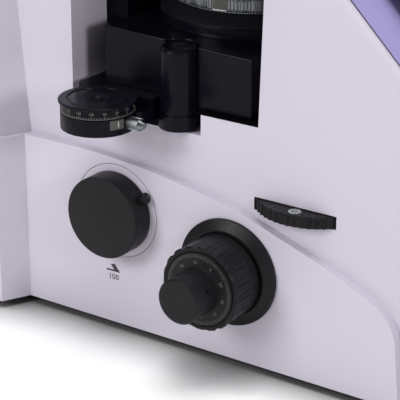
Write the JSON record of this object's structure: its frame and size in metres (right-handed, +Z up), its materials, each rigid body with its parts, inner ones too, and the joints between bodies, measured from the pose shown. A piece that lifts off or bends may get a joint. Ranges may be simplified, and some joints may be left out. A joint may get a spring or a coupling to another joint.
{
  "type": "inverted microscope",
  "caption": "Inverted reflected-light microscope with a tilting binocular head, rotating analyser, coaxial focus, side camera port, moving stage and rear lamp house.",
  "frame": {"origin": "on the table under the middle of the bounding box", "axes": "+Z up, -Y towards the user, +X to the user's right"},
  "size_m": [0.2848, 0.6498, 0.3768],
  "materials": {
    "lilac_paint": "smooth satin paint",
    "violet_paint": "smooth satin moulding",
    "black_paint": "black satin lacquer on cast aluminium",
    "black_plastic": "fine matte moulding",
    "black_metal": "black anodised",
    "bright_steel": "turned and knurled, satin chrome",
    "steel": "ground steel",
    "rubber": "matte",
    "glass": "coated optical glass",
    "mirror": "front-silvered",
    "objective_chrome": "satin chrome barrel"
  },
  "bodies": {
    "stand": {"main_housing": "lilac_paint", "bottom_cover": "black_metal", "foot_front_left": "rubber", "foot_front_right": "rubber", "foot_rear_left": "rubber", "foot_rear_right": "rubber", "front_panel": "violet_paint", "port_ring": "lilac_paint", "port_tube": "steel", "focus_flange_left": "black_plastic", "focus_flange_right": "black_plastic", "guide_post_left": "steel", "guide_post_right": "steel", "reflector_cube": "black_metal", "illuminator_column": "black_paint", "illuminator_tube": "black_metal", "collector_lens": "glass", "lamp_house": "black_paint", "lamp_bulb": "glass", "tube_lens": "glass", "camera_prism": "glass", "folding_mirror": "mirror", "stage_base_plate": "black_paint", "head_flange": "black_metal", "head_body": "lilac_paint", "power_inlet": "black_plastic"},
    "carriage": {"nosepiece_carriage": "black_paint", "focus_rack": "steel"},
    "turret": {"turret_bowl": "black_paint", "turret_grip_ring": "bright_steel", "objective_1": "objective_chrome", "objective_2": "objective_chrome", "objective_3": "objective_chrome", "objective_4": "objective_chrome", "objective_5": "objective_chrome"},
    "coarse_drive": {"coarse_knob_left": "black_plastic", "coarse_knob_right": "black_plastic", "pinion_shaft": "steel"},
    "fine_drive": {"fine_knob_left": "black_plastic", "fine_knob_right": "black_plastic", "fine_shaft": "steel"},
    "dust_cap": {"port_cap": "black_plastic"},
    "cap_screw": {"port_lock_screw": "black_metal"},
    "analyser": {"analyser_holder": "black_paint"},
    "dial": {"analyser_dial": "black_plastic"},
    "polariser_cell": {"analyser_cell": "glass"},
    "analyser_screw": {"analyser_lock_screw": "bright_steel"},
    "wheel": {"brightness_wheel": "black_plastic"},
    "diaphragm": {"diaphragm_lever": "black_metal"},
    "y_stage": {"stage_y_plate": "black_paint"},
    "x_stage": {"stage_x_plate": "black_paint", "stage_insert": "bright_steel"},
    "y_knob": {"stage_y_knob": "black_plastic"},
    "x_knob": {"stage_x_knob": "black_plastic"},
    "left_arm": {"eyepiece_arm_left": "black_paint", "eyepiece_left": "black_plastic"},
    "right_arm": {"eyepiece_arm_right": "black_paint", "eyepiece_right": "black_plastic"},
    "diopter": {"diopter_ring": "black_plastic"},
    "switch": {"power_switch": "black_plastic"}
  },
  "joints": [
    {"name": "carriage_lift", "type": "slide", "parent": "stand", "child": "carriage", "axis": [0, 0, 1], "range_m": [0, 0.009]},
    {"name": "coarse_focus", "type": "hinge", "parent": "stand", "child": "coarse_drive", "pos_m": [0, -0.08521, 0.0614], "axis": [1, 0, 0], "range_deg": [0, 86]},
    {"name": "fine_focus", "type": "hinge", "parent": "coarse_drive", "child": "fine_drive", "pos_m": [0, -0.08521, 0.0614], "axis": [1, 0, 0], "continuous": true},
    {"name": "turret_spin", "type": "hinge", "parent": "carriage", "child": "turret", "pos_m": [0, -0.04211, 0.2], "axis": [0, 0, 1], "continuous": true},
    {"name": "cap_pull", "type": "slide", "parent": "stand", "child": "dust_cap", "axis": [-1, 0, 0], "range_m": [0, 0.03]},
    {"name": "cap_screw_turn", "type": "hinge", "parent": "dust_cap", "child": "cap_screw", "pos_m": [-0.0942, -0.00311, 0.081], "axis": [0, -0.8572, 0.515], "continuous": true},
    {"name": "analyser_slide", "type": "slide", "parent": "stand", "child": "analyser", "axis": [-1, 0, 0], "range_m": [0, 0.04]},
    {"name": "dial_turn", "type": "hinge", "parent": "analyser", "child": "dial", "pos_m": [-0.1136, -0.00861, 0.155], "axis": [0, 0, 1], "continuous": true},
    {"name": "cell_turn", "type": "hinge", "parent": "analyser", "child": "polariser_cell", "pos_m": [0, -0.00961, 0.1478], "axis": [0, 0, 1], "continuous": true},
    {"name": "analyser_screw_turn", "type": "hinge", "parent": "analyser", "child": "analyser_screw", "pos_m": [-0.1136, -0.03311, 0.15], "axis": [0, -1, 0], "continuous": true},
    {"name": "brightness_turn", "type": "hinge", "parent": "stand", "child": "wheel", "pos_m": [-0.0595, -0.12561, 0.105], "axis": [0, 0, 1], "range_deg": [-135, 135]},
    {"name": "diaphragm_turn", "type": "hinge", "parent": "stand", "child": "diaphragm", "pos_m": [0, 0.16189, 0.172], "axis": [0, 1, 0], "range_deg": [-18, 18]},
    {"name": "stage_y", "type": "slide", "parent": "stand", "child": "y_stage", "axis": [0, 1, 0], "range_m": [-0.02, 0.02]},
    {"name": "stage_x", "type": "slide", "parent": "y_stage", "child": "x_stage", "axis": [1, 0, 0], "range_m": [-0.025, 0.025]},
    {"name": "stage_y_turn", "type": "hinge", "parent": "y_stage", "child": "y_knob", "pos_m": [0.118, -0.04311, 0.25], "axis": [0, 0, 1], "range_deg": [-173, 173]},
    {"name": "stage_x_turn", "type": "hinge", "parent": "y_stage", "child": "x_knob", "pos_m": [0.118, -0.04311, 0.22], "axis": [0, 0, 1], "range_deg": [-180, 180]},
    {"name": "left_eye_swing", "type": "hinge", "parent": "stand", "child": "left_arm", "pos_m": [0, -0.16791, 0.2198], "axis": [0, 0.7071, -0.7071], "range_deg": [0, 45]},
    {"name": "right_eye_swing", "type": "hinge", "parent": "stand", "child": "right_arm", "pos_m": [0, -0.16791, 0.2198], "axis": [0, -0.7071, 0.7071], "range_deg": [0, 45]},
    {"name": "diopter_turn", "type": "hinge", "parent": "left_arm", "child": "diopter", "pos_m": [-0.037, -0.16791, 0.2198], "axis": [0, -0.7071, 0.7071], "range_deg": [-150, 150]},
    {"name": "switch_rock", "type": "hinge", "parent": "stand", "child": "switch", "pos_m": [0.008, 0.22189, 0.045], "axis": [1, 0, 0], "range_deg": [-7, 7]}
  ],
  "couplings": [
    {"joint": "coarse_focus", "follows": "carriage_lift", "rad_per_m": 166.67},
    {"joint": "cell_turn", "follows": "dial_turn", "ratio": 1},
    {"joint": "stage_y_turn", "follows": "stage_y", "rad_per_m": 150},
    {"joint": "stage_x_turn", "follows": "stage_x", "rad_per_m": 125},
    {"joint": "right_eye_swing", "follows": "left_eye_swing", "ratio": 1}
  ]
}
